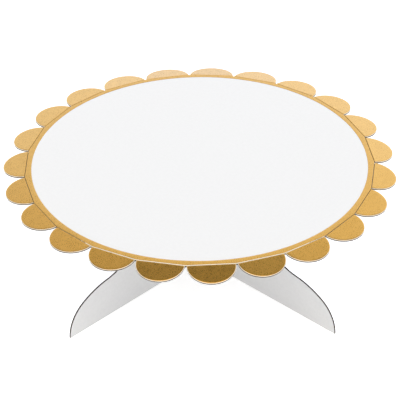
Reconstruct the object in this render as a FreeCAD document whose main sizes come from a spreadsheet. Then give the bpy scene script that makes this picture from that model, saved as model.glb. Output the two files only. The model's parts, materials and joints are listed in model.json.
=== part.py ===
import FreeCAD, Part
import math
import os
import Sketcher

# A flat-pack card cake stand: a round scalloped plate on two leg panels that slot into a cross.
#
# Millimetres, +Z up. The origin is on the table, where the two leg panels cross. The lower
# panel runs along X and the upper one along Y. The plate is one die-cut board: a flat middle
# inside a polygon of scored creases, with a scalloped flap hinged at each crease. A score is
# cut from above, so a flap turns on the uncut underside of the board, and the two walls of its
# score meet again when the flap lies flat.

DRIVING_SIZES = {
    # the plate
    "flap_count": 23,           # scallops round the rim
    "crease_radius": 135,       # centre to a corner of the crease polygon
    "plate_turn": 0.8,          # bearing of the polygon's first corner from +X, in degrees
    "flap_depth": 18,           # crease to the tip of a scallop
    "flap_gap": 1.2,            # between neighbouring scallops, at the crease
    "score_gap": 0.1,           # between the walls of a score when its flap lies flat
    "board_thickness": 1.5,
    "foil_thickness": 0.1,
    "white_radius": 129.7,      # inner edge of the gold border
    "white_shift": 0.65,        # the border's middle is this far along both +X and +Y
    # how far the flaps hang below flat, in degrees
    "mean_fold": 7,
    "leg_fold": 2.2,            # less over the four legs and more between them
    "cross_fold": 1.1,          # more at +X+Y and at -X-Y
    "side_fold": 0.9,           # more at +X-Y than at -X+Y
    # the slotted board glued under the plate
    "socket_radius": 70,
    "socket_thickness": 2,
    # the leg panels
    "stand_height": 90.6,       # table to the face that the cake rests on
    "leg_thickness": 1.3,
    "toe_reach": 141.4,         # the stand's axis to the tip of a foot
    "toe_radius": 28.3,
    "toe_height": 24.4,         # where the toe's arc runs into the instep's
    "instep_radius": 68,
    "instep_height": 33.3,      # where the instep's arc runs into the waist's
    "waist_radius": 44,
    "slot_clearance": 0.1,      # added to the panel's thickness, in slots and sockets
    "slot_end_gap": 0.1,        # between the closed ends of the two slots, at half height
    "lead_in": 1.6,             # height of the chamfer at a slot's open mouth
    "tab_start": 14,            # the stand's axis to a tab's near end
    "tab_length": 24,
    "tab_clearance": 0.1,       # at each end of a tab and above it
    "tab_corner": 0.6,
}

# Sizes that more than one sub-part is driven by, as the sheet works them out.
HALF_TURN = "180 deg / Sizes.flap_count"
PLATE_CORNER = f"Sizes.crease_radius - Sizes.score_gap / 2 / cos({HALF_TURN})"
PLATE_UNDERSIDE = "Sizes.stand_height - Sizes.board_thickness"
FOIL_UNDERSIDE = "Sizes.stand_height - Sizes.foil_thickness"
SHOULDER = "Sizes.stand_height - Sizes.board_thickness - Sizes.socket_thickness"
SLOT_WIDTH = "Sizes.leg_thickness + Sizes.slot_clearance"
TAB_RISE = "Sizes.socket_thickness - Sizes.tab_clearance"
FLAP_HALF_WIDTH = f"Sizes.crease_radius * sin({HALF_TURN}) - Sizes.flap_gap / 2"

UP = FreeCAD.Vector(0, 0, 1)
ALONG_X = FreeCAD.Vector(1, 0, 0)
ORIGIN = FreeCAD.Vector(0, 0, 0)
# How a sketch names its own origin and axes, and the ends and centre of a curve.
ROOT, X_AXIS, Y_AXIS = -1, -1, -2
START, END, CENTRE = 1, 2, 3


def make_sheet(doc):
    """The spreadsheet that every size is read from."""
    sheet = doc.addObject("Spreadsheet::Sheet", "Sizes")
    for row, (name, value) in enumerate(DRIVING_SIZES.items(), start=1):
        sheet.set(f"A{row}", name)
        sheet.set(f"B{row}", str(value))
        sheet.setAlias(f"B{row}", name)
    doc.recompute()
    return sheet


# ---- sketching ----

def origin_feature(body, role):
    """One of the body's own origin planes or axes."""
    return next(feature for feature in body.Origin.OriginFeatures if feature.Role == role)


def new_sketch(body, name, role):
    sketch = body.newObject("Sketcher::SketchObject", name)
    sketch.AttachmentSupport = [(origin_feature(body, role), "")]
    sketch.MapMode = "FlatFace"
    return sketch


def add_line(sketch, start, end):
    return sketch.addGeometry(Part.LineSegment(FreeCAD.Vector(*start, 0), FreeCAD.Vector(*end, 0)), False)


def add_arc(sketch, centre, radius, start_angle, end_angle):
    circle = Part.Circle(FreeCAD.Vector(*centre, 0), UP, radius)
    return sketch.addGeometry(Part.ArcOfCircle(circle, start_angle, end_angle), False)


def add_loop(sketch, corners):
    """Closed straight-sided outline; line i runs from corner i to the next one."""
    lines = [add_line(sketch, corner, following)
             for corner, following in zip(corners, corners[1:] + corners[:1])]
    for line, following in zip(lines, lines[1:] + lines[:1]):
        tie(sketch, "Coincident", line, END, following, START)
    return lines


def tie(sketch, kind, *places):
    sketch.addConstraint(Sketcher.Constraint(kind, *places))


def drive(sketch, name, kind, places, value, expression):
    """One named dimension, bound to the sheet."""
    index = sketch.addConstraint(Sketcher.Constraint(kind, *places, value))
    sketch.renameConstraint(index, name)
    sketch.setExpression(f"Constraints.{name}", expression)


# ---- solids ----

def pad(doc, body, sketch, name, length, symmetric=False):
    feature = body.newObject("PartDesign::Pad", name)
    feature.Profile = sketch
    feature.Midplane = symmetric
    feature.setExpression("Length", length)
    doc.recompute()
    return feature


def pocket_through(doc, body, sketch, name):
    """Cuts the sketch through the body both ways, and makes sure that it took something away."""
    before = body.Shape.Volume
    feature = body.newObject("PartDesign::Pocket", name)
    feature.Profile = sketch
    feature.Midplane = True
    feature.Type = "ThroughAll"
    doc.recompute()
    if not body.Shape.Volume < before:
        raise RuntimeError(f"{name} cut nothing")
    return feature


def crease_prism(doc, name, height, base):
    """A flat slab whose edges stop half a score gap short of the creases."""
    slab = doc.addObject("Part::Prism", name)
    slab.Placement = FreeCAD.Placement(ORIGIN, FreeCAD.Rotation(UP, doc.Sizes.plate_turn))
    slab.setExpression("Polygon", "Sizes.flap_count")
    slab.setExpression("Circumradius", PLATE_CORNER)
    slab.setExpression("Height", height)
    slab.setExpression("Placement.Base.z", base)
    return slab


def white_disc(doc, name, height, base):
    """What the gold border surrounds, a little off the plate's centre."""
    disc = doc.addObject("Part::Cylinder", name)
    disc.setExpression("Radius", "Sizes.white_radius")
    disc.setExpression("Height", height)
    disc.setExpression("Placement.Base.x", "Sizes.white_shift")
    disc.setExpression("Placement.Base.y", "Sizes.white_shift")
    disc.setExpression("Placement.Base.z", base)
    return disc


# ---- the plate ----

def make_top_board(doc):
    """The white board. Its rim is pressed down by the thickness of the foil on it."""
    rim = crease_prism(doc, "BoardRim", "Sizes.board_thickness - Sizes.foil_thickness",
                       PLATE_UNDERSIDE)
    face = white_disc(doc, "WhiteFace", "Sizes.board_thickness", PLATE_UNDERSIDE)
    board = doc.addObject("Part::Fuse", "TopBoard")
    board.Base = rim
    board.Tool = face
    board.Label = "top_board"
    return board


def make_gold_border(doc):
    """The stamped foil between the white face and the creases, flush with the face."""
    sheet = crease_prism(doc, "FoilSheet", "Sizes.foil_thickness", FOIL_UNDERSIDE)
    middle = white_disc(doc, "FoilMiddle", "Sizes.foil_thickness", FOIL_UNDERSIDE)
    border = doc.addObject("Part::Cut", "GoldBorder")
    border.Base = sheet
    border.Tool = middle
    border.Label = "gold_border"
    return border


def make_socket_board(doc):
    """The disc glued under the plate, with a socket for each of the leg panels' four tabs."""
    sizes = doc.Sizes
    body = doc.addObject("PartDesign::Body", "SocketBoard")
    body.Label = "socket_board"

    outline = new_sketch(body, "DiscOutline", "XY_Plane")
    circle = outline.addGeometry(Part.Circle(ORIGIN, UP, sizes.socket_radius), False)
    tie(outline, "Coincident", circle, CENTRE, ROOT, START)
    drive(outline, "disc_radius", "Radius", (circle,), sizes.socket_radius, "Sizes.socket_radius")
    pad(doc, body, outline, "Disc", "Sizes.socket_thickness")

    near = sizes.tab_start - sizes.tab_clearance
    far = sizes.tab_start + sizes.tab_length + sizes.tab_clearance
    width = sizes.leg_thickness + sizes.slot_clearance
    opening = new_sketch(body, "SocketOutline", "XY_Plane")
    lower, outer, upper, inner = add_loop(
        opening, [(near, -width / 2), (far, -width / 2), (far, width / 2), (near, width / 2)])
    tie(opening, "Horizontal", lower)
    tie(opening, "Horizontal", upper)
    tie(opening, "Vertical", outer)
    tie(opening, "Symmetric", inner, START, inner, END, X_AXIS)
    drive(opening, "near_end", "DistanceX", (ROOT, START, lower, START), near,
          "Sizes.tab_start - Sizes.tab_clearance")
    drive(opening, "socket_length", "DistanceX", (lower, START, lower, END), far - near,
          "Sizes.tab_length + 2 * Sizes.tab_clearance")
    drive(opening, "socket_width", "DistanceY", (outer, START, outer, END), width, SLOT_WIDTH)
    first = pocket_through(doc, body, opening, "Socket")

    around = body.newObject("PartDesign::PolarPattern", "FourSockets")
    around.Originals = [first]
    around.Axis = (origin_feature(body, "Z_Axis"), [""])
    around.Angle = 360
    around.Occurrences = 4
    body.Tip = around
    body.setExpression("Placement.Base.z", SHOULDER)
    return body


def flap_fold(sizes, bearing):
    """How far below flat the flap at this bearing hangs, in degrees."""
    around = math.radians(bearing)
    return (sizes.mean_fold
            - sizes.leg_fold * math.cos(4 * around)
            + sizes.cross_fold * math.sin(2 * around)
            + sizes.side_fold * math.cos(around + math.pi / 4))


def make_flap(doc, number):
    """One scalloped flap: short straight sides and a round end, drawn flat from its crease."""
    sizes = doc.Sizes
    half_turn = math.pi / sizes.flap_count
    half_width = sizes.crease_radius * math.sin(half_turn) - sizes.flap_gap / 2
    wall = sizes.score_gap / 2
    spring = sizes.flap_depth - half_width

    body = doc.addObject("PartDesign::Body", f"Flap{number:02d}")
    body.Label = f"scallop_flap_{number:02d}"
    outline = new_sketch(body, "Scallop", "XY_Plane")
    crease = add_line(outline, (-half_width, wall), (half_width, wall))
    right = add_line(outline, (half_width, wall), (half_width, spring))
    round_end = add_arc(outline, (0, spring), half_width, 0, math.pi)
    left = add_line(outline, (-half_width, spring), (-half_width, wall))
    tie(outline, "Horizontal", crease)
    tie(outline, "Coincident", crease, END, right, START)
    tie(outline, "Vertical", right)
    tie(outline, "Vertical", left)
    tie(outline, "Tangent", right, END, round_end, START)
    tie(outline, "Tangent", round_end, END, left, START)
    tie(outline, "Coincident", left, END, crease, START)
    tie(outline, "PointOnObject", round_end, CENTRE, Y_AXIS)
    drive(outline, "half_width", "Radius", (round_end,), half_width, FLAP_HALF_WIDTH)
    drive(outline, "score_wall", "DistanceY", (ROOT, START, crease, START), wall,
          "Sizes.score_gap / 2")
    drive(outline, "spring_line", "DistanceY", (ROOT, START, round_end, CENTRE), spring,
          f"Sizes.flap_depth - ({FLAP_HALF_WIDTH})")
    pad(doc, body, outline, "Board", "Sizes.board_thickness")

    bearing = sizes.plate_turn + math.degrees(half_turn) * (2 * number - 1)
    outward = FreeCAD.Rotation(UP, bearing).multVec(ALONG_X)
    crease_middle = outward * (sizes.crease_radius * math.cos(half_turn))
    crease_middle.z = sizes.stand_height - sizes.board_thickness
    # The sketch's +Y leads away from the crease, so it is a quarter turn short of the bearing.
    facing = FreeCAD.Rotation(UP, bearing - 90)
    folded = FreeCAD.Rotation(ALONG_X, -flap_fold(sizes, bearing))
    body.Placement = FreeCAD.Placement(crease_middle, facing * folded)
    return body


# ---- the leg panels ----

def leg_half_outline(body, sizes):
    """Half of a panel: flat foot, round toe, long instep, and a waist that sweeps up."""
    shoulder = sizes.stand_height - sizes.board_thickness - sizes.socket_thickness
    toe_x = sizes.toe_reach - sizes.toe_radius
    toe_angle = math.asin(sizes.toe_height / sizes.toe_radius)
    # Each arc's centre lies on the line through the last centre and the point where they meet.
    inward = sizes.toe_radius - sizes.instep_radius
    instep_x = toe_x + inward * math.cos(toe_angle)
    instep_y = inward * math.sin(toe_angle)
    instep_angle = math.asin((sizes.instep_height - instep_y) / sizes.instep_radius)
    outward = sizes.instep_radius + sizes.waist_radius
    waist_x = instep_x + outward * math.cos(instep_angle)
    waist_y = instep_y + outward * math.sin(instep_angle)
    shoulder_angle = math.pi - math.asin((shoulder - waist_y) / sizes.waist_radius)
    shoulder_x = waist_x + sizes.waist_radius * math.cos(shoulder_angle)

    sketch = new_sketch(body, "HalfOutline", "XZ_Plane")
    foot = add_line(sketch, (0, 0), (sizes.toe_reach, 0))
    toe = add_arc(sketch, (toe_x, 0), sizes.toe_radius, 0, toe_angle)
    instep = add_arc(sketch, (instep_x, instep_y), sizes.instep_radius, toe_angle, instep_angle)
    waist = add_arc(sketch, (waist_x, waist_y), sizes.waist_radius, shoulder_angle,
                    instep_angle + math.pi)
    top = add_line(sketch, (shoulder_x, shoulder), (0, shoulder))
    middle = add_line(sketch, (0, shoulder), (0, 0))

    tie(sketch, "Coincident", foot, START, ROOT, START)
    tie(sketch, "Horizontal", foot)
    tie(sketch, "Coincident", foot, END, toe, START)
    tie(sketch, "PointOnObject", toe, CENTRE, X_AXIS)
    tie(sketch, "Tangent", toe, END, instep, START)
    tie(sketch, "Tangent", instep, END, waist, END)
    tie(sketch, "Coincident", waist, START, top, START)
    tie(sketch, "Horizontal", top)
    tie(sketch, "Coincident", top, END, middle, START)
    tie(sketch, "Vertical", middle)
    tie(sketch, "Coincident", middle, END, ROOT, START)
    drive(sketch, "toe_reach", "DistanceX", (ROOT, START, toe, START), sizes.toe_reach,
          "Sizes.toe_reach")
    drive(sketch, "toe_arc", "Radius", (toe,), sizes.toe_radius, "Sizes.toe_radius")
    drive(sketch, "toe_height", "DistanceY", (ROOT, START, toe, END), sizes.toe_height,
          "Sizes.toe_height")
    drive(sketch, "instep_arc", "Radius", (instep,), sizes.instep_radius, "Sizes.instep_radius")
    drive(sketch, "instep_height", "DistanceY", (ROOT, START, instep, END), sizes.instep_height,
          "Sizes.instep_height")
    drive(sketch, "waist_arc", "Radius", (waist,), sizes.waist_radius, "Sizes.waist_radius")
    drive(sketch, "shoulder", "DistanceY", (ROOT, START, top, START), shoulder, SHOULDER)
    return sketch


def tab_outline(body, sizes):
    """One tab on the panel's shoulder, its two upper corners cut off to find the socket."""
    root = sizes.stand_height - sizes.board_thickness - sizes.socket_thickness
    rise = sizes.socket_thickness - sizes.tab_clearance
    near = sizes.tab_start
    far = near + sizes.tab_length
    end = root + rise
    cut = sizes.tab_corner
    sketch = new_sketch(body, "TabOutline", "XZ_Plane")
    lower, outer, outer_cut, upper, inner_cut, inner = add_loop(
        sketch, [(near, root), (far, root), (far, end - cut), (far - cut, end), (near + cut, end),
                 (near, end - cut)])
    for line in (lower, upper):
        tie(sketch, "Horizontal", line)
    for line in (outer, inner):
        tie(sketch, "Vertical", line)
    tie(sketch, "Equal", outer_cut, inner_cut)
    drive(sketch, "tab_start", "DistanceX", (ROOT, START, lower, START), near, "Sizes.tab_start")
    drive(sketch, "tab_length", "DistanceX", (lower, START, lower, END), far - near,
          "Sizes.tab_length")
    drive(sketch, "tab_root", "DistanceY", (ROOT, START, lower, START), root, SHOULDER)
    drive(sketch, "tab_rise", "DistanceY", (lower, END, upper, START), rise, TAB_RISE)
    drive(sketch, "cut_across", "DistanceX", (outer_cut, END, outer_cut, START), cut,
          "Sizes.tab_corner")
    drive(sketch, "cut_down", "DistanceY", (outer_cut, START, outer_cut, END), cut,
          "Sizes.tab_corner")
    drive(sketch, "inner_cut_down", "DistanceY", (inner_cut, END, inner_cut, START), cut,
          "Sizes.tab_corner")
    return sketch


def slot_outline(body, sizes, opens_up):
    """The half-height slot on the panel's middle line, with a chamfered mouth."""
    shoulder = sizes.stand_height - sizes.board_thickness - sizes.socket_thickness
    half_width = (sizes.leg_thickness + sizes.slot_clearance) / 2
    half_mouth = half_width + sizes.lead_in / 2
    half_gap = sizes.slot_end_gap / 2
    if opens_up:
        closed = shoulder / 2 - half_gap
        mouth = shoulder
        neck = mouth - sizes.lead_in
        closed_expression = f"({SHOULDER}) / 2 - Sizes.slot_end_gap / 2"
    else:
        closed = shoulder / 2 + half_gap
        mouth = 0
        neck = sizes.lead_in
        closed_expression = f"({SHOULDER}) / 2 + Sizes.slot_end_gap / 2"
    sketch = new_sketch(body, "SlotOutline", "XZ_Plane")
    end, right, right_cut, opening, left_cut, left = add_loop(
        sketch, [(-half_width, closed), (half_width, closed), (half_width, neck),
                 (half_mouth, mouth), (-half_mouth, mouth), (-half_width, neck)])
    for line in (right, left):
        tie(sketch, "Vertical", line)
    tie(sketch, "Symmetric", end, START, end, END, Y_AXIS)
    tie(sketch, "Symmetric", opening, START, opening, END, Y_AXIS)
    tie(sketch, "Equal", right, left)
    drive(sketch, "slot_width", "DistanceX", (end, START, end, END), 2 * half_width, SLOT_WIDTH)
    drive(sketch, "mouth_width", "DistanceX", (opening, END, opening, START), 2 * half_mouth,
          f"{SLOT_WIDTH} + Sizes.lead_in")
    drive(sketch, "closed_end", "DistanceY", (ROOT, START, end, START), closed, closed_expression)
    if opens_up:
        drive(sketch, "mouth", "DistanceY", (ROOT, START, opening, START), mouth, SHOULDER)
        drive(sketch, "lead_in", "DistanceY", (right_cut, START, right_cut, END), sizes.lead_in,
              "Sizes.lead_in")
    else:
        tie(sketch, "PointOnObject", opening, START, X_AXIS)
        drive(sketch, "lead_in", "DistanceY", (left_cut, START, left_cut, END), sizes.lead_in,
              "Sizes.lead_in")
    return sketch


def make_leg_panel(doc, label, opens_up, turn):
    """One leg panel: half an outline and a tab, mirrored, then the slot for the other panel."""
    body = doc.addObject("PartDesign::Body", "".join(word.title() for word in label.split("_")))
    body.Label = label
    half = pad(doc, body, leg_half_outline(body, doc.Sizes), "HalfPanel", "Sizes.leg_thickness", True)
    tab = pad(doc, body, tab_outline(body, doc.Sizes), "Tab", "Sizes.leg_thickness", True)
    mirror = body.newObject("PartDesign::Mirrored", "BothHalves")
    mirror.Originals = [half, tab]
    mirror.MirrorPlane = (origin_feature(body, "YZ_Plane"), [""])
    body.Tip = mirror
    doc.recompute()
    pocket_through(doc, body, slot_outline(body, doc.Sizes, opens_up), "CrossSlot")
    body.Placement = FreeCAD.Placement(ORIGIN, FreeCAD.Rotation(UP, turn))
    return body


# ---- the whole stand ----

def check(doc, parts):
    """Stops if an object failed, a sketch is loose, or a sub-part isn't one valid solid."""
    for item in doc.Objects:
        if {"Invalid", "Error"} & set(item.State):
            raise RuntimeError(f"{item.Name} failed: {item.State}")
        if item.TypeId == "Sketcher::SketchObject" and not item.FullyConstrained:
            raise RuntimeError(f"{item.Name} of {item.getParentGeoFeatureGroup().Label} is loose")
    for item in parts:
        shape = item.Shape
        if shape.isNull() or not shape.isValid() or len(shape.Solids) != 1:
            raise RuntimeError(f"{item.Label} is not one valid solid")


def main():
    doc = FreeCAD.newDocument("CakeStand")
    sheet = make_sheet(doc)
    parts = [
        make_leg_panel(doc, "lower_leg_panel", opens_up=True, turn=0),
        make_leg_panel(doc, "upper_leg_panel", opens_up=False, turn=90),
        make_socket_board(doc),
        make_top_board(doc),
        make_gold_border(doc),
    ]
    parts += [make_flap(doc, number) for number in range(1, int(sheet.flap_count) + 1)]
    doc.recompute()
    check(doc, parts)
    os.makedirs("parts", exist_ok=True)
    for item in parts:
        item.Shape.exportStep(f"parts/{item.Label}.step")
        print(f"{item.Label}: {item.Shape.Volume:.1f} mm3")


main()
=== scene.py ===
import json
import math
import random
from collections import namedtuple

import bmesh
import bpy
from mathutils import Matrix, Vector


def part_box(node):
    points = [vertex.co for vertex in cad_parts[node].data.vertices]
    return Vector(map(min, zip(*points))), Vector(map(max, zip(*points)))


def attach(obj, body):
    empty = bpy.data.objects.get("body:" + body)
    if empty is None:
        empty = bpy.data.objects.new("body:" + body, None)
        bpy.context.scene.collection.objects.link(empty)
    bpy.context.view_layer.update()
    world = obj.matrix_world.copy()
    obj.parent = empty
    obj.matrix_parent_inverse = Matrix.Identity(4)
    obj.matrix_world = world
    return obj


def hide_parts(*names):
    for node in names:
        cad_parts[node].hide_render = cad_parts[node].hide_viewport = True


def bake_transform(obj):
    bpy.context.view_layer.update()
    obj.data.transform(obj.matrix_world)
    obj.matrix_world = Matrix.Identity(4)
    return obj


# The looks of a scalloped card cake stand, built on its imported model. Metres, +Z up.
#
# The lined boards are built as they were made: a dark fibre core between pale liners, cut out
# with a die that rolls its top edges over. The gold is a foil on the top liner. Each flap hangs
# on its lower liner, which runs on under the plate and bends at the crease.

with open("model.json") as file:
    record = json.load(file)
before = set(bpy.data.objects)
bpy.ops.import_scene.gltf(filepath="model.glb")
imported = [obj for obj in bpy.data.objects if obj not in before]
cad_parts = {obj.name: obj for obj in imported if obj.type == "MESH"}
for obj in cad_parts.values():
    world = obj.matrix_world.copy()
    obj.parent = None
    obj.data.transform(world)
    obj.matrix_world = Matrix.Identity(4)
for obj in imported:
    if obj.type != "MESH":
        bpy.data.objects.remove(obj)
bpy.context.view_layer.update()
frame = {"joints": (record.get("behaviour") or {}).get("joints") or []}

MM = 0.001
UP = Vector((0, 0, 1))

# ---- sizes that the frame gives ----

creases = [joint for joint in frame["joints"] if joint["name"].startswith("crease_")]
half_turn = math.pi / len(creases)
first_crease = Vector(creases[0]["pos_m"])
apothem = first_crease.xy.length
first_corner = math.atan2(first_crease.y, first_crease.x) - half_turn
board_low, board_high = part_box("top_board")
board_bottom = board_low.z
board_top = board_high.z
board_thickness = board_top - board_bottom
leg_low, leg_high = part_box("lower_leg_panel")
leg_thickness = leg_high.y - leg_low.y
toe_reach = leg_high.x
tab_end = leg_high.z
socket_low, socket_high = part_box("socket_board")
socket_radius = socket_high.x
shoulder = socket_low.z

# ---- sizes of the design that the frame's boxes don't give ----

FLAP_GAP = 1.2 * MM         # between neighbouring flaps, at the crease
FLAP_DEPTH = 18 * MM        # from the crease to the tip of a scallop
SCORE_WALL = 0.05 * MM      # from the hinge line to either wall of a score
WHITE_RADIUS = 129.7 * MM   # inner edge of the gold border
WHITE_MIDDLE = Vector((0.65, 0.65)) * MM
FOIL = 0.1 * MM             # thickness of the gold border
TOE_RADIUS = 28.3 * MM
TOE_HEIGHT = 24.4 * MM
INSTEP_RADIUS = 68 * MM
INSTEP_HEIGHT = 33.3 * MM
WAIST_RADIUS = 44 * MM
SLOT_CLEARANCE = 0.1 * MM
SLOT_END_GAP = 0.1 * MM
LEAD_IN = 1.6 * MM
TAB_START = 14 * MM
TAB_LENGTH = 24 * MM
TAB_CLEARANCE = 0.1 * MM
TAB_CORNER = 0.6 * MM
LINER = 0.15 * MM           # a flap's lower liner, which is its living hinge
HINGE_REACH = 1.0 * MM      # how far the lower liner runs on under the plate
HINGE_BEND = 0.25 * MM      # half the width of the liner that bends
TORN = 0.05 * MM            # how deep the die tears the fibres of the core
TORN_LOW = 0.15 * MM        # above the lower liner: the first torn fibres
TORN_NEXT = 0.35 * MM       # above the lower liner: the second ones
HAIR = 0.02 * MM            # a hair's breadth: a clearance, or a corner that isn't quite sharp
WEAR_AND_HIGHLIGHT_WAY = Vector((-1, -1, 0)).normalized()    # the way to the front, on the camera's side, where the foil is worn back most and the edge has its painted highlight
WEAR_AND_HIGHLIGHT_RANGE = (60 * MM, 145 * MM)                # how far that way the wear and the painted highlight start and are full
WORN_BACK = 0.75 * MM                           # how much further back the foil is worn there, widening the painted highlight

# ---- how finely the shapes are drawn ----

ROUND_STEPS = 72            # round a scallop
CREASE_STEPS = 36           # along a flap's edge at the crease
SIDE_STEPS = 18             # along the plate's edge at one crease
HINGE_ROWS = 12             # of the lower liner, from its inner end to the crease
NECK_ROWS = 3               # of the lower liner, from the crease to the scallop's widest line
ROUND_ROW_ANGLES = range(0, 88, 3)      # of the lower liner's rows round the scallop, in degrees
LINER_COLUMNS = 16
SOCKET_STEPS = 240          # round the socket board
TOE_STEPS = 16
INSTEP_STEPS = 24
WAIST_STEPS = 40
PANEL_STEP = 2 * MM         # longest edge of a leg panel's outline
SLOT_STEP = 1 * MM          # longest edge of a socket's outline
MITRE_LIMIT = 0.5           # keeps the mitre at a sharp corner within twice the inset

# ---- materials ----


def new_material(name):
    """A material that has only its shader; returns it with its nodes, links and shader."""
    material = bpy.data.materials.new(name)
    material.use_nodes = True
    nodes = material.node_tree.nodes
    return material, nodes, material.node_tree.links, nodes["Principled BSDF"]


def add_noise(nodes, links, scale, detail=4.0, roughness=0.55, stretch=(1, 1, 1)):
    """Noise fixed to the piece, in features per metre; returns its value."""
    place = nodes.new("ShaderNodeTexCoord")
    mapping = nodes.new("ShaderNodeMapping")
    mapping.inputs["Scale"].default_value = stretch
    noise = nodes.new("ShaderNodeTexNoise")
    noise.inputs["Scale"].default_value = scale
    noise.inputs["Detail"].default_value = detail
    noise.inputs["Roughness"].default_value = roughness
    links.new(place.outputs["Object"], mapping.inputs["Vector"])
    links.new(mapping.outputs["Vector"], noise.inputs["Vector"])
    return noise.outputs["Fac"]


def add_mix(nodes, links, share, first, second, kind="MIX"):
    """Two values or colours mixed, with this share of the second: a number or an output."""
    mix = nodes.new("ShaderNodeMixRGB")
    mix.blend_type = kind
    if isinstance(share, bpy.types.NodeSocket):
        links.new(share, mix.inputs["Fac"])
    else:
        mix.inputs["Fac"].default_value = share
    links.new(first, mix.inputs["Color1"])
    links.new(second, mix.inputs["Color2"])
    return mix.outputs["Color"]


def add_ramp(nodes, links, value, stops):
    """Colours along a value; each stop is (position, colour)."""
    ramp = nodes.new("ShaderNodeValToRGB")
    elements = ramp.color_ramp.elements
    while len(elements) < len(stops):
        elements.new(0.5)
    for element, (position, colour) in zip(elements, stops):
        element.position = position
        element.color = (*colour, 1)
    links.new(value, ramp.inputs["Fac"])
    return ramp.outputs["Color"]


def add_range(nodes, links, value, low, high):
    """Spreads a value of 0 to 1 over low to high."""
    spread = nodes.new("ShaderNodeMapRange")
    spread.inputs["To Min"].default_value = low
    spread.inputs["To Max"].default_value = high
    links.new(value, spread.inputs["Value"])
    return spread.outputs["Result"]


def add_side(nodes, links, way, towards, start, end):
    """How far along this direction a vector reaches: 0 up to start, 1 from end on."""
    dot = nodes.new("ShaderNodeVectorMath")
    dot.operation = "DOT_PRODUCT"
    dot.inputs[1].default_value = towards
    links.new(way, dot.inputs[0])
    side = nodes.new("ShaderNodeMapRange")
    side.interpolation_type = "SMOOTHSTEP"
    side.inputs["From Min"].default_value = start
    side.inputs["From Max"].default_value = end
    links.new(dot.outputs["Value"], side.inputs["Value"])
    return side.outputs["Result"]


def add_bump(nodes, links, shader, height, strength, distance, under=None):
    """Relief on the shader, over another relief if there is one under it."""
    bump = nodes.new("ShaderNodeBump")
    bump.inputs["Strength"].default_value = strength
    bump.inputs["Distance"].default_value = distance
    links.new(height, bump.inputs["Height"])
    if under is not None:
        links.new(under, bump.inputs["Normal"])
    links.new(bump.outputs["Normal"], shader.inputs["Normal"])
    return bump.outputs["Normal"]


def gold_foil():
    """Satin stamping foil: faint blotches, the grain of the board showing through, a finer
    grain of its own, and a thin lacquer over it."""
    material, nodes, links, shader = new_material("gold_foil")
    blotch = add_noise(nodes, links, 180, detail=3)
    board_grain = add_noise(nodes, links, 1500, detail=2, roughness=0.6)
    grain = add_noise(nodes, links, 2800, detail=3, roughness=0.7)
    coarse = add_mix(nodes, links, 0.75, blotch, board_grain)
    tone = add_mix(nodes, links, 0.4, coarse, grain)
    gold = add_ramp(nodes, links, tone, [(0.4, (0.66, 0.34, 0.035)), (0.6, (0.88, 0.475, 0.075))])
    links.new(gold, shader.inputs["Base Color"])
    links.new(add_range(nodes, links, coarse, 0.2, 0.38), shader.inputs["Roughness"])
    shader.inputs["Metallic"].default_value = 1.0
    shader.inputs["Coat Weight"].default_value = 1.0
    shader.inputs["Coat IOR"].default_value = 1.3
    shader.inputs["Coat Roughness"].default_value = 0.28
    add_bump(nodes, links, shader, board_grain, 0.04, 0.05 * MM)
    return material


def coated_white(name, pale, dark, roughness):
    """White coated board: nearly smooth, with the faint mottle of the paper under the coat. Its
    roughness varies a little about the one given."""
    material, nodes, links, shader = new_material(name)
    mottle = add_noise(nodes, links, 420, detail=5)
    fibre = add_noise(nodes, links, 3200, detail=4, roughness=0.65)
    links.new(add_ramp(nodes, links, mottle, [(0.3, dark), (0.7, pale)]), shader.inputs["Base Color"])
    links.new(add_range(nodes, links, fibre, roughness - 0.06, roughness + 0.08),
              shader.inputs["Roughness"])
    shader.inputs["Specular IOR Level"].default_value = 0.4
    fine = add_bump(nodes, links, shader, fibre, 0.1, 0.03 * MM)
    add_bump(nodes, links, shader, mottle, 0.06, 0.2 * MM, under=fine)
    return material


def worn_edge_painted_light():
    """The plate's rolled edge at the creases: a dark brown painted shade, and towards the front a cream
    that is partly painted highlight, partly liner showing through cracks in the foil."""
    material, nodes, links, shader = new_material("worn_edge_painted_light")
    place = nodes.new("ShaderNodeTexCoord")
    # painted highlight: this mask turns the edge cream towards the camera's side
    front = add_side(nodes, links, place.outputs["Object"], WEAR_AND_HIGHLIGHT_WAY, *WEAR_AND_HIGHLIGHT_RANGE)
    cracks = add_noise(nodes, links, 260, detail=5, roughness=0.7)
    wear_and_painted_light = add_mix(nodes, links, 0.5, front, cracks)
    # dark brown is painted shade; cream is partly painted highlight, partly liner through cracked foil
    colour = add_ramp(nodes, links, wear_and_painted_light, [(0.48, (0.36, 0.22, 0.07)), (0.53, (0.97, 0.87, 0.7))])
    links.new(colour, shader.inputs["Base Color"])
    shader.inputs["Roughness"].default_value = 0.6
    add_bump(nodes, links, shader, cracks, 0.3, 0.05 * MM)
    return material


def fibre_core():
    """The cut edge of the core: dark brown plies, crossed by finer fibre."""
    material, nodes, links, shader = new_material("fibre_core")
    plies = add_noise(nodes, links, 500, detail=6, roughness=0.7, stretch=(1, 1, 12))
    fibre = add_noise(nodes, links, 2400, detail=4)
    tone = add_mix(nodes, links, 0.4, plies, fibre)
    brown = add_ramp(nodes, links, tone, [(0.32, (0.014, 0.007, 0.005)), (0.68, (0.06, 0.034, 0.027))])
    links.new(brown, shader.inputs["Base Color"])
    shader.inputs["Roughness"].default_value = 0.9
    shader.inputs["Specular IOR Level"].default_value = 0.2
    add_bump(nodes, links, shader, tone, 0.5, 0.12 * MM)
    return material


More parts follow.
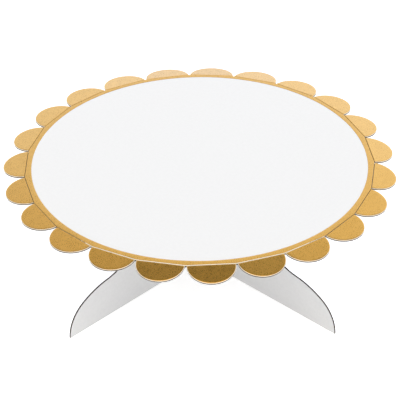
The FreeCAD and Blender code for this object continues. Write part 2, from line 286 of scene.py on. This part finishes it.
def grey_board():
    """Unlined grey board: recycled fibre with pale and dark specks."""
    material, nodes, links, shader = new_material("grey_board")
    cloud = add_noise(nodes, links, 160, detail=6)
    speck = add_noise(nodes, links, 1500, detail=2, roughness=0.8)
    ground = add_ramp(nodes, links, cloud, [(0.3, (0.23, 0.215, 0.19)), (0.7, (0.31, 0.29, 0.26))])
    flecks = add_ramp(nodes, links, speck, [(0.3, (0.35, 0.33, 0.3)), (0.4, (0.8, 0.8, 0.8)),
                                           (0.62, (0.8, 0.8, 0.8)), (0.72, (1, 0.98, 0.94))])
    links.new(add_mix(nodes, links, 0.8, ground, flecks, "MULTIPLY"), shader.inputs["Base Color"])
    shader.inputs["Roughness"].default_value = 0.92
    add_bump(nodes, links, shader, speck, 0.3, 0.08 * MM)
    return material


foil = gold_foil()
white_face = coated_white("white_face", (0.9, 0.895, 0.89), (0.875, 0.87, 0.865), 0.42)
white_panel = coated_white("white_panel", (0.74, 0.74, 0.75), (0.71, 0.71, 0.72), 0.6)
liner_edge = coated_white("liner_edge", (0.95, 0.85, 0.7), (0.86, 0.75, 0.58), 0.7)
# the rolled edge's colours: real cracks, painted shade and a painted highlight
worn_painted_light = worn_edge_painted_light()
core = fibre_core()
grey = grey_board()

# ---- mesh building ----


def clamp(value):
    return min(1, max(0, value))


def arc(centre, radius, start, end, steps):
    """Points along an arc, both ends included; angles in radians."""
    return [Vector((centre[0] + radius * math.cos(start + (end - start) * i / steps),
                    centre[1] + radius * math.sin(start + (end - start) * i / steps)))
            for i in range(steps + 1)]


def divide(points, step):
    """A closed outline with each of its edges cut into pieces no longer than step."""
    divided = []
    for point, following in zip(points, points[1:] + points[:1]):
        pieces = max(1, math.ceil((following - point).length / step))
        divided += [point.lerp(following, i / pieces) for i in range(pieces)]
    return divided


def inward_mitres(outline):
    """At each point of a counterclockwise outline, the step that moves it in by one unit."""
    mitres = []
    for i, point in enumerate(outline):
        before = (point - outline[i - 1]).normalized()
        after = (outline[(i + 1) % len(outline)] - point).normalized()
        inward = Vector((-before.y - after.y, before.x + after.x)).normalized()
        mitres.append(inward / max(MITRE_LIMIT, inward.dot(Vector((-after.y, after.x)))))
    return mitres


def inset(outline, distance):
    return [point + mitre * distance for point, mitre in zip(outline, inward_mitres(outline))]


def tear(outline, depth, chance):
    """The outline with each point drawn in at random by up to depth."""
    return [point + mitre * depth * chance.random()
            for point, mitre in zip(outline, inward_mitres(outline))]


def add_loop(mesh, outline, height):
    return [mesh.verts.new((*point, height)) for point in outline]


def bridge(mesh, lower, upper, slot=0):
    """A band of smooth quads between two loops of the same count; returns its faces."""
    band = []
    for i in range(len(lower)):
        j = (i + 1) % len(lower)
        face = mesh.faces.new((lower[i], lower[j], upper[j], upper[i]))
        face.material_index = slot
        face.smooth = True
        band.append(face)
    return band


def finish_mesh(mesh, name, materials, place=Matrix.Identity(4)):
    """Turns the mesh into an object of the scene, moved to its place."""
    bmesh.ops.recalc_face_normals(mesh, faces=mesh.faces)
    mesh.transform(place)
    data = bpy.data.meshes.new(name)
    mesh.to_mesh(data)
    mesh.free()
    for material in materials:
        data.materials.append(material)
    piece = bpy.data.objects.new(name, data)
    bpy.context.scene.collection.objects.link(piece)
    return piece


# One loop of a board's surface. The slots are the materials of the band above it: round the
# board, and along its scored edge, if it has one.
Ring = namedtuple("Ring", "outline height slot score_slot", defaults=[0, None])


def laminate(name, rings, materials, place=Matrix.Identity(4), score_from=None):
    """A closed sheet of board, its rings in order from the lower face to the upper one. The
    lower face has the first ring's slot, the upper face the last one's, and the columns of
    the outline from score_from on are its scored edge."""
    mesh = bmesh.new()
    loops = [add_loop(mesh, ring.outline, ring.height) for ring in rings]
    for ring, lower, upper in zip(rings, loops, loops[1:]):
        band = bridge(mesh, lower, upper, ring.slot)
        if ring.score_slot is not None:
            for face in band[score_from:]:
                face.material_index = ring.score_slot
    mesh.faces.new(reversed(loops[0])).material_index = rings[0].slot
    mesh.faces.new(loops[-1]).material_index = rings[-1].slot
    return finish_mesh(mesh, name, materials, place)


def add_piece(piece, body, slot, *nodes):
    """Tells the frame what a piece rides on and what it stands for. Its slot is not used."""
    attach(piece, body)
    if nodes:
        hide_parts(*nodes)


# ---- the flaps ----

flap_radius = apothem * math.tan(half_turn) - FLAP_GAP / 2
flap_spring = FLAP_DEPTH - flap_radius


def flap_place(joint):
    """Where a flap's own frame is: +X along its crease, +Y outward in the flap, +Z out of it."""
    along = Vector(joint["axis"])
    facing = Matrix((-along, along.cross(UP), UP)).transposed().to_4x4()
    fold = math.radians(-joint["range_deg"][0])
    return Matrix.Translation(joint["pos_m"]) @ facing @ Matrix.Rotation(-fold, 4, "X")


def scallop(edge_inset, crease_inset):
    """A flap's outline: a circle cut off at the crease, each drawn in by its own inset."""
    radius = flap_radius - edge_inset
    crease = SCORE_WALL + crease_inset
    start = math.asin((crease - flap_spring) / radius)
    round_end = arc((0, flap_spring), radius, start, math.pi - start, ROUND_STEPS)
    straight = [round_end[-1].lerp(round_end[0], i / CREASE_STEPS) for i in range(1, CREASE_STEPS)]
    return round_end + straight


def make_flap(joint, node):
    """A flap's board. Its foil stops short of the cut edge, where the pale liner shows. At the
    crease the foil rolls over into the score, and there is only core under it."""
    chance = random.Random(node)
    top = board_thickness
    edge = scallop(0, 0)
    foil_slot, liner_slot, core_slot = range(3)
    rings = [
        Ring(scallop(0.3 * MM, 0.1 * MM), LINER, core_slot),
        Ring(scallop(HAIR, 0), LINER, core_slot),
        Ring(tear(edge, TORN, chance), LINER + TORN_LOW, core_slot),
        Ring(tear(edge, TORN, chance), LINER + TORN_NEXT, core_slot),
        Ring(tear(edge, TORN, chance), top - 0.68 * MM, core_slot),
        Ring(edge, top - 0.6 * MM, liner_slot, core_slot),
        Ring(scallop(0.03 * MM, 0), top - 0.42 * MM, liner_slot, foil_slot),
        Ring(scallop(0.12 * MM, 0.01 * MM), top - 0.22 * MM, liner_slot, foil_slot),
        Ring(scallop(0.26 * MM, 0.05 * MM), top - 0.12 * MM, foil_slot),
        Ring(scallop(0.44 * MM, 0.1 * MM), top - 0.06 * MM, foil_slot),
        Ring(scallop(0.8 * MM, 0.2 * MM), top - 0.015 * MM, foil_slot),
        Ring(scallop(1.3 * MM, 0.4 * MM), top, foil_slot),
        Ring(scallop(1.8 * MM, 0.7 * MM), top, foil_slot),
    ]
    piece = laminate(node, rings, [foil, liner_edge, core], flap_place(joint), score_from=ROUND_STEPS)
    add_piece(piece, joint["child"], "foiled_board", node)


def make_lower_liner(joint, number):
    """The lower liner of a flap, from under the plate to the flap's outer edge."""
    fold = math.radians(-joint["range_deg"][0])
    radius = flap_radius - HAIR
    hinge_rows = [-HINGE_REACH + HINGE_REACH * i / HINGE_ROWS for i in range(HINGE_ROWS)]
    neck_rows = [flap_spring * i / NECK_ROWS for i in range(NECK_ROWS)]
    round_rows = [flap_spring + radius * math.sin(math.radians(angle)) for angle in ROUND_ROW_ANGLES]
    mesh = bmesh.new()
    sheets = []
    for height in (0, LINER):
        sheet = []
        for out in hinge_rows + neck_rows + round_rows:
            half_width = math.sqrt(max(0, radius ** 2 - max(0, out - flap_spring) ** 2))
            share = clamp((out + HINGE_BEND) / (2 * HINGE_BEND))
            # Towards the plate the liner comes level, by turning smoothly about the hinge line.
            turn = Matrix.Rotation(fold * (1 - share * share * (3 - 2 * share)), 3, "X")
            across = [half_width * (2 * i / LINER_COLUMNS - 1) for i in range(LINER_COLUMNS + 1)]
            sheet.append([mesh.verts.new(turn @ Vector((x, out, height))) for x in across])
        sheets.append(sheet)
    lower, upper = sheets
    rows = len(lower) - 1
    for sheet in sheets:
        for row, following in zip(sheet, sheet[1:]):
            for i in range(LINER_COLUMNS):
                mesh.faces.new((row[i], row[i + 1], following[i + 1], following[i])).smooth = True
    for row in (0, rows):
        for i in range(LINER_COLUMNS):
            mesh.faces.new((lower[row][i], lower[row][i + 1], upper[row][i + 1], upper[row][i]))
    for side in (0, LINER_COLUMNS):
        for row in range(rows):
            mesh.faces.new((lower[row][side], lower[row + 1][side], upper[row + 1][side],
                            upper[row][side]))
    piece = finish_mesh(mesh, f"lower_liner_{number:02d}", [white_panel], flap_place(joint))
    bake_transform(piece)


# ---- the plate ----


def crease_polygon(distance):
    """The plate's outline drawn in by a distance, each side in steps."""
    radius = (apothem - SCORE_WALL - distance) / math.cos(half_turn)
    corners = [Vector((radius * math.cos(first_corner + 2 * half_turn * i),
                       radius * math.sin(first_corner + 2 * half_turn * i)))
               for i in range(len(creases))]
    return [corner.lerp(following, i / SIDE_STEPS)
            for corner, following in zip(corners, corners[1:] + corners[:1])
            for i in range(SIDE_STEPS)]


def foil_edge(distance):
    """The plate's outline drawn in by a distance, and further where the foil is worn back, which widens
    the edge's painted highlight.
    """
    start, end = WEAR_AND_HIGHLIGHT_RANGE
    outline = []
    for point in crease_polygon(distance):
        share = clamp((point.dot(WEAR_AND_HIGHLIGHT_WAY.xy) - start) / (end - start))
        outline.append(point - point.normalized() * WORN_BACK * share)
    return outline


def white_circle(distance):
    """The white disc's outline drawn in by a distance, a point for each of the polygon's."""
    radius = WHITE_RADIUS - distance
    bearings = [math.atan2(point.y, point.x) for point in crease_polygon(0)]
    return [WHITE_MIDDLE + radius * Vector((math.cos(bearing), math.sin(bearing)))
            for bearing in bearings]


# The section that the plate's board and its foil share, as (inset from the foil's edge, depth
# below the top): where the foil's lip ends on the rounded edge, and how the board lies under it.
FOIL_LIP = [(0.2 * MM, 0.09 * MM), (0.5 * MM, FOIL)]
FOIL_SEAT = 2 * MM          # from the foil's edge to the board's last ring, level under the foil


def make_plate_board():
    """The plate's board, rebated underneath for the flaps' liners. Its top edge is rounded over,
    and outside the foil it has wear, painted shade and a painted highlight."""
    chance = random.Random("plate")
    edge = crease_polygon(0)
    top = board_top
    rebate = crease_polygon(HINGE_REACH + HAIR)
    rebate_top = board_bottom + LINER + HAIR / 2
    worn_painted_light_slot, panel_slot, core_slot = range(3)
    rings = [
        Ring(crease_polygon(2 * MM), board_bottom, panel_slot),
        Ring(rebate, board_bottom, panel_slot),
        Ring(rebate, rebate_top, panel_slot),
        Ring(crease_polygon(HAIR), rebate_top, core_slot),
        Ring(tear(edge, TORN, chance), rebate_top + TORN_LOW, core_slot),
        Ring(tear(edge, TORN, chance), rebate_top + TORN_NEXT, core_slot),
        Ring(tear(edge, TORN, chance), top - 0.4 * MM, core_slot),
        # from here up the rolled edge has wear, painted shade and a painted highlight
        Ring(edge, top - 0.32 * MM, worn_painted_light_slot),
        Ring(crease_polygon(0.03 * MM), top - 0.22 * MM, worn_painted_light_slot),
        Ring(crease_polygon(0.1 * MM), top - 0.14 * MM, worn_painted_light_slot),
        Ring(crease_polygon(0.17 * MM), top - 0.1 * MM, worn_painted_light_slot),
    ]
    rings += [Ring(foil_edge(distance), top - depth, worn_painted_light_slot) for distance, depth in FOIL_LIP]
    rings.append(Ring(foil_edge(FOIL_SEAT), top - FOIL, worn_painted_light_slot))
    piece = laminate("plate_board", rings, [worn_painted_light, white_panel, core])
    add_piece(piece, "plate", "white_board", "top_board")


def make_white_face():
    """The plate's white coated middle."""
    rings = [
        Ring(white_circle(0.03 * MM), board_top - FOIL),
        Ring(white_circle(0.03 * MM), board_top - 0.03 * MM),
        Ring(white_circle(0.06 * MM), board_top),
        Ring(white_circle(1 * MM), board_top),
    ]
    piece = laminate("white_face", rings, [white_face])
    add_piece(piece, "plate", "white_board")


def make_gold_border():
    """The stamped foil between the white middle and the plate's rolled edge at the creases."""
    top = board_top
    section = [(foil_edge(distance), top - depth) for distance, depth in reversed(FOIL_LIP)]
    section += [
        (foil_edge(0.16 * MM), top - 0.06 * MM),
        (foil_edge(0.22 * MM), top - 0.03 * MM),
        (foil_edge(0.45 * MM), top - 0.01 * MM),
        (foil_edge(0.8 * MM), top),
        (white_circle(-0.5 * MM), top),
        (white_circle(-0.04 * MM), top),
        (white_circle(0), top - 0.03 * MM),
        (white_circle(0), top - FOIL),
    ]
    mesh = bmesh.new()
    loops = [add_loop(mesh, outline, height) for outline, height in section]
    for lower, upper in zip(loops, loops[1:] + loops[:1]):
        bridge(mesh, lower, upper)
    piece = finish_mesh(mesh, "gold_border", [foil])
    add_piece(piece, "plate", "gold_foil", "gold_border")


def make_socket_board():
    """The grey board glued under the plate, with the four sockets that the tabs plug into."""
    chance = random.Random("socket")
    low = shoulder
    high = socket_high.z
    edge = arc((0, 0), socket_radius, 0, 2 * math.pi, SOCKET_STEPS)[:-1]
    core_slot = 1
    outer = [
        (inset(edge, 0.25 * MM), low),
        (inset(edge, 0.06 * MM), low + 0.08 * MM),
        (tear(edge, TORN, chance), low + 0.3 * MM),
        (tear(edge, TORN, chance), low + 0.8 * MM),
        (tear(edge, TORN, chance), high - 0.5 * MM),
        (edge, high),
    ]
    near = TAB_START - TAB_CLEARANCE
    far = TAB_START + TAB_LENGTH + TAB_CLEARANCE
    half_width = (leg_thickness + SLOT_CLEARANCE) / 2
    slot = divide([Vector((near, -half_width)), Vector((far, -half_width)),
                   Vector((far, half_width)), Vector((near, half_width))], SLOT_STEP)
    mesh = bmesh.new()
    loops = [add_loop(mesh, outline, height) for outline, height in outer]
    for lower, upper in zip(loops, loops[1:]):
        bridge(mesh, lower, upper, core_slot)
    low_loops = [loops[0]]
    high_loops = [loops[-1]]
    for quarter in range(4):
        turn = Matrix.Rotation(quarter * math.pi / 2, 2)
        turned = [turn @ point for point in slot]
        walls = [add_loop(mesh, inset(turned, -0.08 * MM), low),
                 add_loop(mesh, turned, low + 0.12 * MM),
                 add_loop(mesh, tear(turned, -TORN, chance), (low + high) / 2),
                 add_loop(mesh, turned, high)]
        for lower, upper in zip(walls, walls[1:]):
            bridge(mesh, lower, upper, core_slot)
        low_loops.append(walls[0])
        high_loops.append(walls[-1])
    for face_loops in (low_loops, high_loops):
        edges = [mesh.edges.get((loop[i - 1], loop[i])) for loop in face_loops for i in range(len(loop))]
        bmesh.ops.triangle_fill(mesh, use_beauty=True, edges=edges)
    piece = finish_mesh(mesh, "socket_board", [grey, core])
    add_piece(piece, "plate", "grey_board", "socket_board")


# ---- the leg panels ----


def leg_right_half():
    """The right half of a panel's outline, from the tip of its foot up to its tab."""
    toe = Vector((toe_reach - TOE_RADIUS, 0))
    toe_angle = math.asin(TOE_HEIGHT / TOE_RADIUS)
    towards = Vector((math.cos(toe_angle), math.sin(toe_angle)))
    instep = toe + towards * (TOE_RADIUS - INSTEP_RADIUS)
    instep_angle = math.asin((INSTEP_HEIGHT - instep.y) / INSTEP_RADIUS)
    towards = Vector((math.cos(instep_angle), math.sin(instep_angle)))
    waist = instep + towards * (INSTEP_RADIUS + WAIST_RADIUS)
    shoulder_angle = math.pi - math.asin((shoulder - waist.y) / WAIST_RADIUS)
    near = TAB_START
    far = TAB_START + TAB_LENGTH
    tab = [(far, shoulder), (far, tab_end - TAB_CORNER), (far - TAB_CORNER, tab_end),
           (near + TAB_CORNER, tab_end), (near, tab_end - TAB_CORNER), (near, shoulder)]
    return (arc(toe, TOE_RADIUS, 0, toe_angle, TOE_STEPS)
            + arc(instep, INSTEP_RADIUS, toe_angle, instep_angle, INSTEP_STEPS)[1:]
            + arc(waist, WAIST_RADIUS, instep_angle + math.pi, shoulder_angle, WAIST_STEPS)[1:]
            + [Vector(point) for point in tab])


def leg_outline(opens_up):
    """A panel's whole outline, counterclockwise, with the slot for the other panel."""
    right = leg_right_half()
    left = [Vector((-point.x, point.y)) for point in reversed(right)]
    half_width = (leg_thickness + SLOT_CLEARANCE) / 2
    half_mouth = half_width + LEAD_IN / 2
    way = 1 if opens_up else -1
    closed = shoulder / 2 - way * SLOT_END_GAP / 2
    mouth = shoulder if opens_up else 0
    neck = mouth - way * LEAD_IN
    slot = [Vector((half_mouth, mouth)), Vector((half_width, neck)), Vector((half_width, closed)),
            Vector((-half_width, closed)), Vector((-half_width, neck)), Vector((-half_mouth, mouth))]
    corners = right + slot + left if opens_up else right + left + slot[::-1]
    return divide(corners, PANEL_STEP)


def make_leg_panel(node, body, opens_up, turn):
    """A panel of white board, stood on its edge and turned to its place in the cross."""
    chance = random.Random(node)
    edge = leg_outline(opens_up)
    side = leg_thickness / 2
    panel_slot, core_slot = range(2)
    rings = [
        Ring(inset(edge, 0.4 * MM), -side, panel_slot),
        Ring(inset(edge, 0.1 * MM), -side, panel_slot),
        Ring(inset(edge, HAIR), -side + 0.03 * MM, core_slot),
        Ring(edge, -side + 0.12 * MM, core_slot),
        Ring(tear(edge, TORN, chance), -side + 0.3 * MM, core_slot),
        Ring(tear(edge, TORN, chance), 0, core_slot),
        Ring(tear(edge, TORN, chance), side - 0.3 * MM, core_slot),
        Ring(edge, side - 0.12 * MM, core_slot),
        Ring(inset(edge, HAIR), side - 0.03 * MM, panel_slot),
        Ring(inset(edge, 0.1 * MM), side, panel_slot),
        Ring(inset(edge, 0.4 * MM), side, panel_slot),
    ]
    place = Matrix.Rotation(turn, 4, "Z") @ Matrix.Rotation(math.pi / 2, 4, "X")
    piece = laminate(node, rings, [white_panel, core], place)
    add_piece(piece, body, "white_board", node)


for number, joint in enumerate(creases, start=1):
    make_flap(joint, f"scallop_flap_{number:02d}")
    make_lower_liner(joint, number)
make_plate_board()
make_white_face()
make_gold_border()
make_socket_board()
make_leg_panel("lower_leg_panel", "lower_leg", opens_up=True, turn=0)
make_leg_panel("upper_leg_panel", "upper_leg", opens_up=False, turn=math.pi / 2)

# ---- stage, light and camera ----

CAMERA_AZIMUTH = math.radians(-45.5)
CAMERA_BACK = 1218.4 * MM   # from the stand's axis
CAMERA_HEIGHT = 881.2 * MM
CAMERA_PITCH = math.radians(34.11)
CAMERA_ROLL = math.radians(-0.62)
CAMERA_LENS = 169.3         # millimetres, on a 36 mm sensor
FLOOR_SIZE = 20
FLOOR_DROP = 0.05 * MM      # keeps the floor clear of the feet
FLOOR_GLOW = 0.5            # light of its own, which takes it to the paper white of the photo
WORLD_STRENGTH = 2.5        # keeps every colour on the ramps under 1
SIDE_BLEND = 0.3            # how gradually the sides of the studio run into each other

# The tints of the light, and how brightly they come from each side of the studio, as (degrees
# above the horizon, radiance).
NEUTRAL = Vector((1, 1, 1))
WARM = Vector((1.05, 1, 0.88))          # lamps
COOL = Vector((0.84, 0.98, 1.3))        # daylight
DARK = Vector((0, 0, 0))
BRIGHTEST = 2.2
WALL = [(0, 0.65 * COOL), (13, 1.45 * COOL), (26, 1.3 * COOL), (36, 0.7 * NEUTRAL),
        (46, 0.7 * WARM), (53, DARK), (64, DARK), (90, 1.5 * WARM)]
SOFTBOX = [(0, 0.6 * WARM), (26, 0.4 * WARM), (46, 0.7 * WARM), (57, BRIGHTEST * WARM),
           (90, BRIGHTEST * WARM)]
REFLECTOR = [(0, DARK), (20, 0.1 * COOL), (40, 0.45 * COOL), (62, DARK)]


def make_floor():
    """A plain pale table top under the stand."""
    material, nodes, links, shader = new_material("pale_floor")
    shader.inputs["Base Color"].default_value = (0.9, 0.9, 0.9, 1)
    shader.inputs["Roughness"].default_value = 0.9
    shader.inputs["Emission Color"].default_value = (1, 1, 1, 1)
    shader.inputs["Emission Strength"].default_value = FLOOR_GLOW
    mesh = bmesh.new()
    bmesh.ops.create_grid(mesh, x_segments=4, y_segments=4, size=FLOOR_SIZE / 2)
    floor = finish_mesh(mesh, "floor", [material])
    floor.location.z = -FLOOR_DROP


def add_sky(nodes, links, height, lights):
    """Light that changes with height above the horizon; lights are (degrees, radiance)."""
    stops = [(math.sin(math.radians(degrees)), radiance / WORLD_STRENGTH)
             for degrees, radiance in lights]
    return add_ramp(nodes, links, height, stops)


def make_world():
    """The studio: a large softbox overhead on the camera's side; a far wall lit by cool daylight
    low down, dark higher up and lit again overhead; and a cool reflector to the right."""
    world = bpy.data.worlds.new("studio")
    bpy.context.scene.world = world
    world.use_nodes = True
    nodes = world.node_tree.nodes
    links = world.node_tree.links
    place = nodes.new("ShaderNodeTexCoord")
    way = place.outputs["Generated"]
    split = nodes.new("ShaderNodeSeparateXYZ")
    links.new(way, split.inputs["Vector"])
    height = split.outputs["Z"]
    far_way = Vector((-math.sin(CAMERA_AZIMUTH), math.cos(CAMERA_AZIMUTH), 0))
    right_way = Vector((math.cos(CAMERA_AZIMUTH), math.sin(CAMERA_AZIMUTH), 0))
    far_side = add_side(nodes, links, way, far_way, -SIDE_BLEND, SIDE_BLEND)
    right_side = add_side(nodes, links, way, right_way, -SIDE_BLEND, SIDE_BLEND)
    near_light = add_sky(nodes, links, height, SOFTBOX)
    far_light = add_sky(nodes, links, height, WALL)
    right_light = add_sky(nodes, links, height, REFLECTOR)
    near_and_far = add_mix(nodes, links, far_side, near_light, far_light)
    right = add_mix(nodes, links, 1, right_side, right_light, "MULTIPLY")
    light = add_mix(nodes, links, 1, near_and_far, right, "ADD")
    background = nodes["Background"]
    links.new(light, background.inputs["Color"])
    background.inputs["Strength"].default_value = WORLD_STRENGTH


def make_camera():
    """The photographed view: a long lens, looking down at the plate."""
    data = bpy.data.cameras.new("camera")
    data.lens = CAMERA_LENS
    camera = bpy.data.objects.new("camera", data)
    camera.matrix_world = (Matrix.Rotation(CAMERA_AZIMUTH, 4, "Z")
                           @ Matrix.Translation((0, -CAMERA_BACK, CAMERA_HEIGHT))
                           @ Matrix.Rotation(math.pi / 2 - CAMERA_PITCH, 4, "X")
                           @ Matrix.Rotation(CAMERA_ROLL, 4, "Z"))
    bpy.context.scene.collection.objects.link(camera)
    bpy.context.scene.camera = camera


make_floor()
make_world()
make_camera()
bpy.context.scene.view_settings.view_transform = "Standard"
